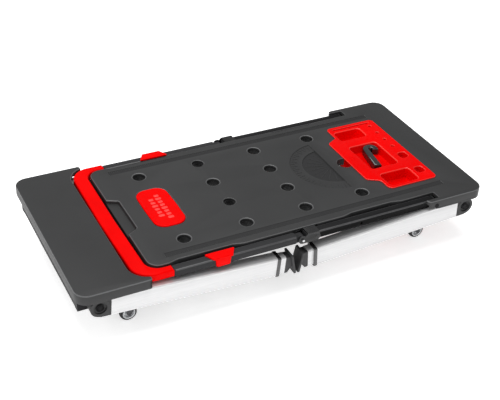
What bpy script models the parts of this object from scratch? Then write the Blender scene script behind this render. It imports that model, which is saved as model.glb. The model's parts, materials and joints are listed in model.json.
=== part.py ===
"""Folding platform cart: deck, lift-out tool tray, folding push handle, telescoping legs, casters.

Frame: +X runs along the deck towards the tool tray, +Z is up, the floor is z = 0 and the
origin is under the middle of the deck. The object is stored flat: legs and handle folded.
"""
import math

import bmesh
import bpy
from mathutils import Matrix, Vector

# ---- driving dimensions -------------------------------------------------------------
DECK_LENGTH = 1.043
DECK_WIDTH = 0.480
DECK_TOP = 0.158            # height of the platform above the floor
GAP = 0.0004                # clearance kept between pieces that touch
PANEL_THICK = 0.020
PANEL_LEFT_X = -0.346
PANEL_HALF_WIDTH = 0.2045
PANEL_WEB = 0.0075          # thickness of the deck where it is recessed from below
END_PLATE_INNER_X = -0.393  # inner edge of the left end plate
PLATE_SKIRT = 0.026         # height of the end plates' side walls
PLATE_CORNER_R = 0.030

HOLE_R = 0.0135
HOLE_RIM_R = 0.0165
SCREW_PLACES = ((-0.0826, 0.1359), (-0.0826, -0.0453))
HOLE_PLACES = ((-0.239, 0.1359), (-0.239, -0.1359), (-0.0826, 0.0453), (-0.0826, -0.1359),
               (0.0739, 0.1359), (0.0739, 0.0453), (0.0739, -0.0453), (0.0739, -0.1359),
               (0.230, 0.1359), (0.230, -0.1359))

TRAY_X0, TRAY_X1 = 0.299, 0.441
TRAY_HALF_Y = 0.1535
TRAY_BULGE_X = 0.268
TRAY_BULGE_Y = (-0.096, 0.088)
TRAY_RIM = 0.003            # the tray's flange stands this far over the deck
TRAY_DEPTH = 0.034

RAIL_W, RAIL_H = 0.021, 0.020
RAIL_Y = 0.2170             # middle of each handle rail
RAIL_TOP = DECK_TOP - 0.005
RAIL_MID_Z = RAIL_TOP - RAIL_H / 2
BOW_X0, BOW_X1 = -0.3900, -0.3545
BOW_ARM_END = -0.3015
BOW_TOP = DECK_TOP - 0.002
BOW_H = 0.019
HANDLE_PIVOT_X = 0.380
MID_HINGE_X = 0.014
MID_HINGE_Z = DECK_TOP - 0.016
RIVET_X = 0.050

LEG_PIVOT_X = 0.473
LEG_PIVOT_Z = DECK_TOP - 0.0448
LEG_DROOP = math.radians(3.6)   # the folded legs sag towards the middle of the deck
LEG_Y = 0.2210
TUBE_W, TUBE_H = 0.031, 0.050
TUBE_WALL = 0.002
TUBE_CORNER_R = 0.0035
INNER_W, INNER_H = 0.026, 0.045
TUBE_START, TUBE_END = 0.0245, 0.4210
COLLAR_LEN = 0.008
INNER_START, INNER_END = 0.110, 0.4440
FOOT_END = 0.4674            # pivot to the middle of the sole
FOOT_SPLAY = math.radians(15)
KNUCKLE_R = 0.022
BAY_Y = (0.2030, 0.2373)      # the legs fold into open bays under the end plates
BAY_TOP = DECK_TOP - 0.0095
CROSS_TUBE_U = 0.250          # along the leg from its pivot

CASTER_X, CASTER_Y = 0.374, 0.166
WHEEL_R, WHEEL_W = 0.0205, 0.018
WHEEL_TRAIL = 0.014

SHOULDER_X = 0.355          # where the right end plate widens from the panel
SLOT_END_X = 0.3915
HORN_X = -0.3560            # tips of the left end plate beside the grip
SHELF_END_X = -0.3354
SHELF_HALF_Y = 0.2026
SHELF_THICK = 0.0040
TRAY_FLANGE = 0.0035
BADGE_X, BADGE_Y = -0.240, -0.002
BADGE_HALF = (0.0395, 0.0780)
BADGE_CORNER_R = 0.028
SCREW_R, SCREW_DEPTH = 0.0115, 0.0045
PIN_R, TONGUE_R, EAR_R = 0.0032, 0.0080, 0.0105
BOLT_R = 0.0050
SOLE_W = 0.037
LATCH_X = {"front": -0.186, "rear": -0.171}
HOOK_FOOT = (0.3345, -0.0500)
HOOK_THICK = 0.020

BEAM_TOP = DECK_TOP - PLATE_SKIRT - GAP
SIDE_BEAM_Y = (0.162, 0.187)
SIDE_BEAM_H = 0.020
SHEET = 0.003                # wall of the folded steel channels
CASTER_BEAM_H = 0.046
END_BEAM_X = (0.4870, 0.5135)

DARK = (0.075, 0.077, 0.080, 1.0)
BLACK = (0.012, 0.012, 0.013, 1.0)
RED = (0.80, 0.004, 0.004, 1.0)
SILVER = (0.78, 0.79, 0.80, 1.0)
STEEL = (0.50, 0.51, 0.52, 1.0)

SIDES = (("front", -1), ("rear", 1))
ENDS = (("left", -1), ("right", 1))


# ---- helpers ------------------------------------------------------------------------
def clear_scene():
    for obj in list(bpy.data.objects):
        bpy.data.objects.remove(obj, do_unlink=True)


def make_collection(name):
    collection = bpy.data.collections.new(name)
    bpy.context.scene.collection.children.link(collection)
    return collection


def make_material(name, color, roughness, metallic=0.0):
    mat = bpy.data.materials.new(name)
    mat.use_nodes = True
    shader = mat.node_tree.nodes["Principled BSDF"]
    shader.inputs["Base Color"].default_value = color
    shader.inputs["Roughness"].default_value = roughness
    shader.inputs["Metallic"].default_value = metallic
    mat.diffuse_color = color
    return mat


def new_object(name, data, mat=None, collection=None):
    obj = bpy.data.objects.new(name, data)
    (collection or PARTS).objects.link(obj)
    if mat is not None:
        obj.data.materials.append(mat)
    return obj


def mesh_from(name, fill):
    mesh = bpy.data.meshes.new(name)
    bm = bmesh.new()
    fill(bm)
    bmesh.ops.recalc_face_normals(bm, faces=bm.faces)
    bm.to_mesh(mesh)
    bm.free()
    return mesh


def add_box(bm, lo, hi):
    size = [b - a for a, b in zip(lo, hi)]
    middle = [(a + b) / 2 for a, b in zip(lo, hi)]
    matrix = Matrix.Translation(middle) @ Matrix.Diagonal((*size, 1.0))
    bmesh.ops.create_cube(bm, size=1.0, matrix=matrix)


def box(name, lo, hi, mat=None, collection=None):
    mesh = mesh_from(name, lambda bm: add_box(bm, lo, hi))
    return new_object(name, mesh, mat, collection)


def cylinder(name, middle, axis, radius, length, mat=None, collection=None, segments=24, top_radius=None):
    """A cylinder, or a cone frustum, along axis ('X', 'Y' or 'Z') centred on middle."""
    turn = {"X": Matrix.Rotation(math.pi / 2, 4, "Y"),
            "Y": Matrix.Rotation(-math.pi / 2, 4, "X"),
            "Z": Matrix.Identity(4)}[axis]
    matrix = Matrix.Translation(middle) @ turn

    def fill(bm):
        bmesh.ops.create_cone(bm, cap_ends=True, segments=segments, radius1=radius,
                              radius2=radius if top_radius is None else top_radius,
                              depth=length, matrix=matrix)

    obj = new_object(name, mesh_from(name, fill), mat, collection)
    obj.data.shade_smooth()
    obj.data.set_sharp_from_angle(angle=math.radians(35))
    return obj


def arc(cx, cy, radius, start, end, count):
    """Points on a circle from start to end, in degrees."""
    step = (end - start) / count
    angles = [math.radians(start + i * step) for i in range(count + 1)]
    return [(cx + radius * math.cos(a), cy + radius * math.sin(a)) for a in angles]


def rounded(corners, count=4):
    """Round a polygon: corners are (x, y, radius), radius 0 stays sharp."""
    points = []
    total = len(corners)
    for i, (x, y, radius) in enumerate(corners):
        here = Vector((x, y))
        if radius == 0:
            points.append((x, y))
            continue
        to_last = (Vector(corners[i - 1][:2]) - here).normalized()
        to_next = (Vector(corners[(i + 1) % total][:2]) - here).normalized()
        half = to_last.angle(to_next) / 2
        inset = radius / math.tan(half)
        middle = here + (to_last + to_next).normalized() * (radius / math.sin(half))
        first = here + to_last * inset - middle
        last = here + to_next * inset - middle
        start = math.atan2(first.y, first.x)
        sweep = math.atan2(last.y, last.x) - start
        sweep = (sweep + math.pi) % (2 * math.pi) - math.pi
        for k in range(count + 1):
            a = start + sweep * k / count
            points.append((middle.x + radius * math.cos(a), middle.y + radius * math.sin(a)))
    return points


def plate(name, outline, low, high, mat=None, collection=None, plane="XY"):
    """A flat outline given a thickness from low to high, as a mesh. plane XZ extrudes along Y."""
    curve = bpy.data.curves.new(name, "CURVE")
    curve.dimensions = "2D"
    curve.fill_mode = "BOTH"
    curve.extrude = (high - low) / 2
    spline = curve.splines.new("POLY")
    spline.points.add(len(outline) - 1)
    for point, (x, y) in zip(spline.points, outline):
        point.co = (x, y, 0.0, 1.0)
    spline.use_cyclic_u = True
    temp = bpy.data.objects.new(name + "_outline", curve)
    PARTS.objects.link(temp)
    bpy.context.view_layer.update()
    mesh = bpy.data.meshes.new_from_object(temp.evaluated_get(bpy.context.evaluated_depsgraph_get()))
    bpy.data.objects.remove(temp, do_unlink=True)
    bpy.data.curves.remove(curve)
    mesh.name = name
    lift = Matrix.Translation((0, 0, (low + high) / 2))
    if plane == "XZ":
        # the outline's y becomes z, and the thickness runs along Y
        lift = Matrix.Rotation(math.pi / 2, 4, "X") @ Matrix.Translation((0, 0, -(low + high) / 2))
    mesh.transform(lift)
    bm = bmesh.new()
    bm.from_mesh(mesh)
    bmesh.ops.remove_doubles(bm, verts=bm.verts, dist=0.00001)
    bmesh.ops.dissolve_limit(bm, angle_limit=0.001, verts=bm.verts, edges=bm.edges)
    bmesh.ops.recalc_face_normals(bm, faces=bm.faces)
    bm.to_mesh(mesh)
    bm.free()
    return new_object(name, mesh, mat, collection)


def boolean(obj, other, operation):
    mod = obj.modifiers.new(operation.lower(), "BOOLEAN")
    mod.operation = operation
    mod.solver = "EXACT"
    mod.object = other
    other.hide_render = True
    other.display_type = "WIRE"


def cut(obj, *tools):
    for tool in tools:
        boolean(obj, tool, "DIFFERENCE")


def join(obj, *tools):
    for tool in tools:
        boolean(obj, tool, "UNION")


def bevel(obj, width, segments=1, angle=40):
    mod = obj.modifiers.new("bevel", "BEVEL")
    mod.width = width
    mod.segments = segments
    mod.limit_method = "ANGLE"
    mod.angle_limit = math.radians(angle)


def set_origin(obj, point):
    """Put an object's origin on its joint without moving its shape."""
    obj.data.transform(Matrix.Translation(-Vector(point)))
    obj.location = point


def parent_keep(child, parent):
    child.parent = parent
    child.matrix_parent_inverse = Matrix.Translation(-Vector(parent.location))


def cbox(name, lo, hi):
    return box("cut_" + name, lo, hi, None, CUTTERS)


def ccyl(name, middle, axis, radius, length, segments=24, top_radius=None):
    return cylinder("cut_" + name, middle, axis, radius, length, None, CUTTERS, segments, top_radius)


# ---- deck ---------------------------------------------------------------------------
def tray_outline(grow):
    """The tray's plan outline, grown outwards by grow."""
    x0, x1 = TRAY_X0 - grow, TRAY_X1 + grow
    half = TRAY_HALF_Y + grow
    bulge = TRAY_BULGE_X - grow
    low, high = TRAY_BULGE_Y[0] - grow, TRAY_BULGE_Y[1] + grow
    slant = 0.016
    radius = 0.010
    return rounded(((x1, half, radius), (x0, half, radius), (x0, high + slant, 0.004),
                    (bulge, high, radius), (bulge, low, radius), (x0, low - slant, 0.004),
                    (x0, -half, radius), (x1, -half, radius)), 3)


def badge_outline(grow):
    """A badge with big rounded corners and slightly bowed long sides."""
    x, y = BADGE_HALF[0] + grow, BADGE_HALF[1] + grow
    radius, bow = BADGE_CORNER_R, 0.0015
    corners = ((x - bow, y, radius), (-x + bow, y, radius), (-x, 0, 0), (-x + bow, -y, radius),
               (x - bow, -y, radius), (x, 0, 0))
    return [(BADGE_X + px, BADGE_Y + py) for px, py in rounded(corners, 5)]


def panel_outline():
    """Plan of the work panel with the right end plate, narrower where the latches sit."""
    outer_x, half, edge = DECK_LENGTH / 2, DECK_WIDTH / 2, PANEL_HALF_WIDTH
    middle, left = edge - 0.0004, edge - 0.0008
    waist_right, waist_left = edge - 0.0060, edge - 0.0066
    upper = ((outer_x, half, PLATE_CORNER_R), (SHOULDER_X, half, 0.010), (SHOULDER_X, edge, 0),
             (0.292, edge, 0), (0.274, waist_right, 0), (0.160, waist_right, 0), (0.142, middle, 0),
             (-0.128, middle, 0), (-0.146, waist_left, 0), (-0.282, waist_left, 0), (-0.300, left, 0),
             (PANEL_LEFT_X, left, 0.026))
    lower = tuple((x, -y, radius) for x, y, radius in reversed(upper))
    return rounded(upper + lower, 4)


def side_span(sy, inner, outer):
    """The lowest and highest y of a band at one side of the deck."""
    return sorted((sy * inner, sy * outer))


def make_top_panel():
    """The work deck and the right end plate, moulded in one piece, hollow underneath."""
    top = DECK_TOP
    low = top - PLATE_SKIRT
    outer_x, half = DECK_LENGTH / 2, DECK_WIDTH / 2
    panel = plate("top_panel", panel_outline(), top - PANEL_THICK, top, DARK_PLASTIC)
    bevel(panel, 0.0018, 1, 50)
    skirt = rounded(((outer_x - 0.0005, half - 0.0005, PLATE_CORNER_R), (0.362, half - 0.0005, 0.006),
                     (0.362, -half + 0.0005, 0.006), (outer_x - 0.0005, -half + 0.0005, PLATE_CORNER_R)), 4)
    join(panel, plate("right_skirt", skirt, low, top - PANEL_THICK + 0.004, None, CUTTERS))
    for name, sy in SIDES:
        y0, y1 = side_span(sy, *SIDE_BEAM_Y)
        join(panel, box(f"runner_{name}", (-0.335, y0, low), (0.370, y1, top - PANEL_THICK + 0.004),
                        None, CUTTERS))
    web = top - PANEL_WEB
    for i, (x0, x1) in enumerate(((-0.312, -0.262), (-0.216, -0.105), (-0.060, 0.051), (0.096, 0.208))):
        cut(panel, cbox(f"hollow_{i}", (x0, -0.158, low - 0.01), (x1, 0.158, web)))
    cut(panel, cbox("hollow_end", (0.452, -0.185, low - 0.01), (outer_x - 0.006, 0.185, web)))
    for name, sy in SIDES:
        y0, y1 = side_span(sy, PANEL_HALF_WIDTH - 0.0002, RAIL_Y + RAIL_W / 2 + 0.0012)
        cut(panel, cbox(f"rail_slot_{name}", (SHOULDER_X - 0.02, y0, low - 0.01), (SLOT_END_X, y1, top + 0.01)))
        y0, y1 = side_span(sy, PANEL_HALF_WIDTH - 0.0020, RAIL_Y)
        cut(panel, cbox(f"ear_slot_{name}", (-0.002, y0, low - 0.01), (0.066, y1, top - 0.002)))
        y0, y1 = side_span(sy, *BAY_Y)
        cut(panel, cbox(f"leg_bay_{name}", (0.300, y0, low - 0.01), (0.5010, y1, BAY_TOP)))
        cut(panel, ccyl(f"pivot_{name}", (HANDLE_PIVOT_X, sy * 0.225, RAIL_MID_Z), "Y", 0.0036, 0.060, 16))
    for i, (x, y) in enumerate(HOLE_PLACES):
        cut(panel, ccyl(f"hole_{i}", (x, y, top), "Z", HOLE_R, 0.08, 16),
            ccyl(f"rim_{i}", (x, y, top), "Z", HOLE_R, 0.007, 16, HOLE_RIM_R + 0.003))
    for i, (x, y) in enumerate(SCREW_PLACES):
        cut(panel, ccyl(f"screw_seat_{i}", (x, y, top), "Z", SCREW_R + GAP, 2 * SCREW_DEPTH, 20))
    cut(panel, plate("cut_tray_well", tray_outline(GAP - TRAY_FLANGE), low - 0.02, top + 0.02, None, CUTTERS),
        ccyl("finger_hole", (0.262, -0.005, top), "Z", 0.020, 0.060, 24))
    recess = rounded(((-0.3205, 0.058, 0.006), (-0.347, 0.072, 0), (-0.36, 0.072, 0),
                      (-0.36, -0.072, 0), (-0.347, -0.072, 0), (-0.3205, -0.058, 0.006)), 3)
    cut(panel, plate("cut_finger_recess", recess, top - 0.010, top + 0.01, None, CUTTERS),
        plate("cut_badge_seat", badge_outline(GAP), top - 0.0025, top + 0.01, None, CUTTERS))
    # protractor: a shallow disc segment with a deeper inner one
    for name, radius, depth in (("outer", 0.105, 0.0018), ("inner", 0.074, 0.0034)):
        half_angle = math.degrees(math.acos(0.008 / radius))
        segment = arc(0.226, 0.0, radius, 180 - half_angle, 180 + half_angle, 14)
        cut(panel, plate(f"cut_protractor_{name}", segment, top - depth, top + 0.01, None, CUTTERS))
    return panel


def make_left_end_plate():
    """End plate whose inner edge follows the handle's grip, with a shelf under the grip."""
    top = DECK_TOP - 0.0010
    low = DECK_TOP - PLATE_SKIRT
    outer_x, half = -DECK_LENGTH / 2, DECK_WIDTH / 2
    corner = 0.049
    upper = [(x, y, 0) for x, y in reversed(arc(END_PLATE_INNER_X + corner, 0.1815, corner, 104, 180, 6))]
    edge = [(x, -y, 0) for x, y, _ in reversed(upper)]
    outline = rounded([(outer_x, half, PLATE_CORNER_R), (outer_x, -half, PLATE_CORNER_R),
                       (HORN_X, -half, 0.004)] + edge + upper + [(HORN_X, half, 0.004)], 4)
    obj = plate("left_end_plate", outline, low, top, DARK_PLASTIC)
    bevel(obj, 0.0018, 1, 50)
    join(obj, box("grip_shelf", (END_PLATE_INNER_X - 0.006, -SHELF_HALF_Y, low),
                  (SHELF_END_X, SHELF_HALF_Y, low + SHELF_THICK), None, CUTTERS))
    cut(obj, cbox("left_hollow", (outer_x + 0.006, -0.188, 0.08),
                  (END_PLATE_INNER_X - 0.010, 0.188, top - PANEL_WEB)))
    for name, sy in SIDES:
        y0, y1 = side_span(sy, *BAY_Y)
        cut(obj, cbox(f"left_bay_{name}", (-0.5010, y0, 0.08), (-0.30, y1, BAY_TOP)))
    return obj


def make_badge():
    badge = plate("badge", badge_outline(0.0), DECK_TOP - 0.0021, DECK_TOP + 0.0012, RED_PLASTIC)
    bevel(badge, 0.0006, 1, 50)
    return badge


def make_deck_screw(index, x, y):
    """A pan-head screw with a cross recess, sunk below the deck."""
    base = DECK_TOP - SCREW_DEPTH + GAP
    screw = cylinder(f"deck_screw_{index}", (x, y, base + 0.0012), "Z", SCREW_R - 0.0008, 0.0024, BLACK_STEEL, None, 20,
                     SCREW_R - 0.0022)
    for k in range(2):
        size = (0.0055, 0.0011) if k == 0 else (0.0011, 0.0055)
        cut(screw, cbox(f"cross_{index}_{k}", (x - size[0], y - size[1], base + 0.0009),
                        (x + size[0], y + size[1], base + 0.01)))
    return screw


def make_frame():
    """Folded steel channels under the deck that carry the legs and the casters."""
    side_low = BEAM_TOP - SIDE_BEAM_H
    for name, sy in SIDES:
        y0, y1 = side_span(sy, *SIDE_BEAM_Y)
        reach = END_BEAM_X[0] - GAP
        beam = box(f"side_beam_{name}", (-reach, y0, side_low), (reach, y1, BEAM_TOP), BLACK_STEEL)
        bevel(beam, 0.002)
        cut(beam, cbox(f"side_channel_{name}", (-DECK_LENGTH, y0 + SHEET, side_low - 0.01),
                       (DECK_LENGTH, y1 - SHEET, BEAM_TOP - SHEET)))
    for name, sx in ENDS:
        make_caster_beam(name, sx * CASTER_X, side_low - GAP)
        make_hinge_beam(name, sx)


def make_caster_beam(name, x, top):
    """Channel across the deck with a plate for a caster at each end."""
    low = top - CASTER_BEAM_H
    beam = box(f"caster_beam_{name}", (x - 0.021, -0.190, low), (x + 0.021, 0.190, top), BLACK_STEEL)
    bevel(beam, 0.003)
    cut(beam, cbox(f"caster_channel_{name}", (x - 0.021 + SHEET, -DECK_WIDTH, low - 0.01),
                   (x + 0.021 - SHEET, DECK_WIDTH, top - SHEET)))
    for side, sy in SIDES:
        y0, y1 = side_span(sy, 0.1430, 0.1890)
        join(beam, box(f"caster_plate_{name}_{side}", (x - 0.020, y0, low), (x + 0.020, y1, low + 0.004),
                       None, CUTTERS))


def make_hinge_beam(name, sx):
    """Channel at the end of the deck with a cheek for each leg's bolt."""
    x0, x1 = sorted((sx * END_BEAM_X[0], sx * END_BEAM_X[1]))
    beam = box(f"hinge_beam_{name}", (x0, -0.1905, BEAM_TOP - 0.036), (x1, 0.1905, BEAM_TOP), BLACK_STEEL)
    for side, sy in SIDES:
        y0, y1 = side_span(sy, 0.1890, 0.2045)
        a, b = sorted((sx * 0.4500, sx * END_BEAM_X[1]))
        join(beam, box(f"clevis_{name}_{side}", (a, y0, BEAM_TOP - 0.038), (b, y1, BEAM_TOP), None, CUTTERS))
        cut(beam, ccyl(f"clevis_bore_{name}_{side}", (sx * LEG_PIVOT_X, sy * 0.200, LEG_PIVOT_Z), "Y",
                       BOLT_R + GAP, 0.060, 12))
    cut(beam, cbox(f"beam_channel_{name}", (x0 + SHEET, -0.180, 0.05), (x1 - SHEET, 0.180, BEAM_TOP - 0.004)))


# ---- tray ---------------------------------------------------------------------------
TRAY_POCKETS = (
    (0.306, 0.385, 0.083, 0.129, 0.027),
    (0.305, 0.388, -0.062, 0.051, 0.022),
    (0.309, 0.395, -0.1440, -0.088, 0.027),
)
TRAY_BIT_HOLES = ((0.418, 0.1235), (0.418, 0.0870), (0.418, 0.0505), (0.418, 0.0140))
TRAY_SQUARE_HOLES = ((0.418, -0.034), (0.418, -0.108))
HOOK_FLOOR = DECK_TOP + TRAY_RIM - TRAY_POCKETS[1][4]


def rect(x0, x1, y0, y1, radius):
    return rounded(((x1, y1, radius), (x0, y1, radius), (x0, y0, radius), (x1, y0, radius)), 3)


def make_tray():
    top = DECK_TOP + TRAY_RIM
    tray = plate("tool_tray", tray_outline(0.0), DECK_TOP + GAP, top, RED_PLASTIC)
    bevel(tray, 0.0009, 1, 50)
    join(tray, plate("tray_body", tray_outline(-TRAY_FLANGE), DECK_TOP - TRAY_DEPTH, DECK_TOP + 0.0015,
                     None, CUTTERS))
    for i, (x0, x1, y0, y1, depth) in enumerate(TRAY_POCKETS):
        cut(tray, plate(f"cut_pocket_{i}", rect(x0, x1, y0, y1, 0.007), top - depth, top + 0.01, None, CUTTERS))
    for i, (x, y) in enumerate(TRAY_BIT_HOLES):
        cut(tray, ccyl(f"bit_{i}", (x, y, top), "Z", 0.0042, 0.040, 16))
    for i, (x, y) in enumerate(TRAY_SQUARE_HOLES):
        cut(tray, plate(f"cut_square_{i}", rect(x - 0.0125, x + 0.0125, y - 0.0135, y + 0.0135, 0.007),
                        top - 0.024, top + 0.01, None, CUTTERS))
    cut(tray, cbox("tray_slot", (0.312, 0.1385, top - 0.018), (0.424, 0.1430, top + 0.01)),
        cbox("finger_lip", (0.255, -0.024, 0.10), (0.284, 0.014, DECK_TOP - 0.001)))
    set_origin(tray, (TRAY_X0, 0.0, DECK_TOP))
    return tray


def make_hook(tray):
    """A J-shaped clamp hook lying in the tray's middle pocket."""
    bend = (0.3600, 0.0280)
    outer, inner = 0.0205, 0.0050
    tip = arc(*bend, outer, 175, -25, 12)
    back = arc(*bend, inner, -25, 160, 6)
    foot_x, foot_y = HOOK_FOOT
    outline = [(foot_x - 0.0092, foot_y + 0.006)] + tip + back + [(foot_x + 0.0092, foot_y)]
    hook = plate("clamp_hook", outline, HOOK_FLOOR + GAP, HOOK_FLOOR + HOOK_THICK, BLACK_PLASTIC)
    bevel(hook, 0.003, 2, 30)
    set_origin(hook, (foot_x, foot_y, HOOK_FLOOR))
    parent_keep(hook, tray)
    return hook


# ---- handle -------------------------------------------------------------------------
def make_bow():
    """Red U-shaped grip: a wide crossbar with big corners and two short arms."""
    outer = RAIL_Y + RAIL_W / 2
    inner = outer - 0.0195
    near = BOW_X0 + 0.004
    outline = rounded(((BOW_ARM_END, outer, 0), (near, outer, 0.046), (BOW_X0, 0.0, 0), (near, -outer, 0.046),
                       (BOW_ARM_END, -outer, 0), (BOW_ARM_END, -inner, 0), (BOW_X1 + 0.0025, -inner, 0.032),
                       (BOW_X1, 0.0, 0), (BOW_X1 + 0.0025, inner, 0.032), (BOW_ARM_END, inner, 0)), 6)
    bow = plate("handle_bow", outline, BOW_TOP - BOW_H, BOW_TOP, RED_PLASTIC)
    bevel(bow, 0.003, 2, 50)
    return bow


def make_upper_rail(name, sy):
    """Black rail from the bow to the folding hinge, with a tongue round the hinge pin."""
    y0, y1 = sy * RAIL_Y - RAIL_W / 2, sy * RAIL_Y + RAIL_W / 2
    rail = box(f"upper_rail_{name}", (BOW_ARM_END + GAP, y0, RAIL_TOP - RAIL_H),
               (MID_HINGE_X - 0.0128, y1, RAIL_TOP), BLACK_STEEL)
    bevel(rail, 0.003, 2)
    middle = (MID_HINGE_X, sy * RAIL_Y, MID_HINGE_Z)
    join(rail, box(f"tongue_{name}", (MID_HINGE_X - 0.0200, y0 + 0.003, MID_HINGE_Z - TONGUE_R),
                   (MID_HINGE_X, y1 - 0.003, MID_HINGE_Z + TONGUE_R), None, CUTTERS),
         cylinder(f"tongue_end_{name}", middle, "Y", TONGUE_R, RAIL_W - 0.006, None, CUTTERS, 16))
    cut(rail, ccyl(f"tongue_bore_{name}", middle, "Y", PIN_R + GAP, 0.060, 10))
    set_origin(rail, middle)
    return rail


def make_lower_rail(name, sy):
    """Black rail from the folding hinge to the pivot in the right end plate."""
    y0, y1 = sy * RAIL_Y - RAIL_W / 2, sy * RAIL_Y + RAIL_W / 2
    rail = box(f"lower_rail_{name}", (MID_HINGE_X + TONGUE_R + 0.0015, y0, RAIL_TOP - RAIL_H),
               (HANDLE_PIVOT_X - 0.001, y1, RAIL_TOP), BLACK_STEEL)
    bevel(rail, 0.003, 2)
    middle = (HANDLE_PIVOT_X, sy * RAIL_Y, RAIL_MID_Z)
    join(rail, cylinder(f"rail_end_{name}", middle, "Y", RAIL_H / 2 - 0.0002, RAIL_W - 0.001, None, CUTTERS, 18))
    cut(rail, ccyl(f"rail_bore_{name}", middle, "Y", 0.0040, 0.060, 10),
        ccyl(f"rivet_bore_{name}", (RIVET_X, sy * RAIL_Y, MID_HINGE_Z), "Y", 0.0040, 0.060, 10),
        ccyl(f"spring_hole_{name}", (0.173, sy * (RAIL_Y + RAIL_W / 2), DECK_TOP - 0.0156), "Y", 0.003, 0.008, 12))
    set_origin(rail, middle)
    return rail


def make_hinge_bracket(name, sy):
    """U-shaped hinge plate, fixed to the lower rail, whose ears hold the folding pin."""
    inner, outer = RAIL_Y - RAIL_W / 2 - GAP, RAIL_Y + RAIL_W / 2 + GAP
    thick = 0.0024
    bridge_top = RAIL_TOP + GAP + thick
    ends = (arc(RIVET_X, MID_HINGE_Z, EAR_R, -90, 40, 5)
            + [(RIVET_X + 0.007, bridge_top), (MID_HINGE_X + 0.0125, bridge_top)]
            + arc(MID_HINGE_X, MID_HINGE_Z, EAR_R, 50, 270, 8))
    y0, y1 = side_span(sy, outer, outer + thick)
    bracket = plate(f"hinge_bracket_{name}", ends, y0, y1, BLACK_STEEL, plane="XZ")
    y0, y1 = side_span(sy, inner - thick, inner)
    top0, top1 = side_span(sy, inner - thick, outer + thick)
    join(bracket, plate(f"inner_ear_{name}", ends, y0, y1, None, CUTTERS, plane="XZ"),
         box(f"bridge_{name}", (MID_HINGE_X + 0.0125, top0, RAIL_TOP + GAP),
             (RIVET_X + 0.007, top1, bridge_top), None, CUTTERS),
         cylinder(f"rivet_{name}", (RIVET_X, sy * RAIL_Y, MID_HINGE_Z), "Y", 0.0034, RAIL_W + 0.0068,
                  None, CUTTERS, 10))
    cut(bracket, ccyl(f"ear_bore_{name}", (MID_HINGE_X, sy * RAIL_Y, MID_HINGE_Z), "Y", PIN_R + GAP, 0.06, 10),
        ccyl(f"rivet_eye_{name}", (RIVET_X, sy * (RAIL_Y + RAIL_W / 2 + 0.0052), MID_HINGE_Z), "Y",
             0.0020, 0.004, 12))
    return bracket


def make_hinge_pin(name, sy):
    reach = RAIL_W / 2 + 0.0030
    return cylinder(f"hinge_pin_{name}", (MID_HINGE_X, sy * (RAIL_Y + 0.0025), MID_HINGE_Z), "Y", PIN_R,
                    2 * reach + 0.003, STEEL_MAT, None, 16)


def make_pivot_screw(name, sy):
    """Screw that holds a lower rail in its slot, its head outside the end plate."""
    face = DECK_WIDTH / 2
    screw = cylinder(f"handle_pivot_screw_{name}", (HANDLE_PIVOT_X, sy * (face - 0.0162), RAIL_MID_Z), "Y", 0.0032,
                     0.0338, BLACK_STEEL, None, 12)
    join(screw, cylinder(f"screw_head_{name}", (HANDLE_PIVOT_X, sy * (face + 0.0008), RAIL_MID_Z), "Y", 0.0055,
                         0.0010, None, CUTTERS, 16))
    return screw


def make_latch(name, sy):
    """Red latch over a rail: a wide top plate and a tongue down the rail's outer side."""
    top = DECK_TOP - 0.0006
    inner, outer = RAIL_Y - RAIL_W / 2 + 0.0005, RAIL_Y + RAIL_W / 2 + 0.0040
    x = LATCH_X[name]
    outline = [(x - 0.037, sy * inner), (x + 0.037, sy * inner), (x + 0.023, sy * outer), (x - 0.023, sy * outer)]
    latch = plate(f"latch_{name}", outline, RAIL_TOP + GAP, top, RED_PLASTIC)
    y0, y1 = side_span(sy, outer - 0.0036, outer)
    join(latch, box(f"latch_tongue_{name}", (x - 0.019, y0, DECK_TOP - 0.0250),
                    (x + 0.019, y1, top - 0.001), None, CUTTERS))
    bevel(latch, 0.0010, 1, 40)
    set_origin(latch, (x, sy * inner, (RAIL_TOP + GAP + top) / 2))
    return latch


# ---- legs ---------------------------------------------------------------------------
def leg_matrix(sx, sy):
    """Leg space: x along the leg from its pivot, y across the deck, z up. Right legs are turned."""
    place = Matrix.Translation((sx * LEG_PIVOT_X, sy * LEG_Y, LEG_PIVOT_Z))
    turn = Matrix.Identity(4) if sx < 0 else Matrix.Rotation(math.pi, 4, "Z")
    return place @ turn @ Matrix.Rotation(LEG_DROOP, 4, "Y")


# turns an outline in y and z, extruded along z, to run along leg x
ALONG_LEG = Matrix(((0, 0, 1, 0), (1, 0, 0, 0), (0, 1, 0, 0), (0, 0, 0, 1)))


def tube_outline(width, height, radius):
    return rounded(((width / 2, height / 2, radius), (-width / 2, height / 2, radius),
                    (-width / 2, -height / 2, radius), (width / 2, -height / 2, radius)), 3)


def tube(name, width, height, wall, start, end, mat, collection=None):
    """A rounded rectangular tube along leg x, open at both ends."""
    obj = plate(name, tube_outline(width, height, TUBE_CORNER_R), start, end, mat, collection)
    obj.data.transform(ALONG_LEG)
    inside = tube_outline(width - 2 * wall, height - 2 * wall, TUBE_CORNER_R - min(wall, 0.0025))
    hole = plate("cut_" + name, inside, start - 0.01, end + 0.01, None, CUTTERS)
    hole.data.transform(ALONG_LEG)
    cut(obj, hole)
    return obj


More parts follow.
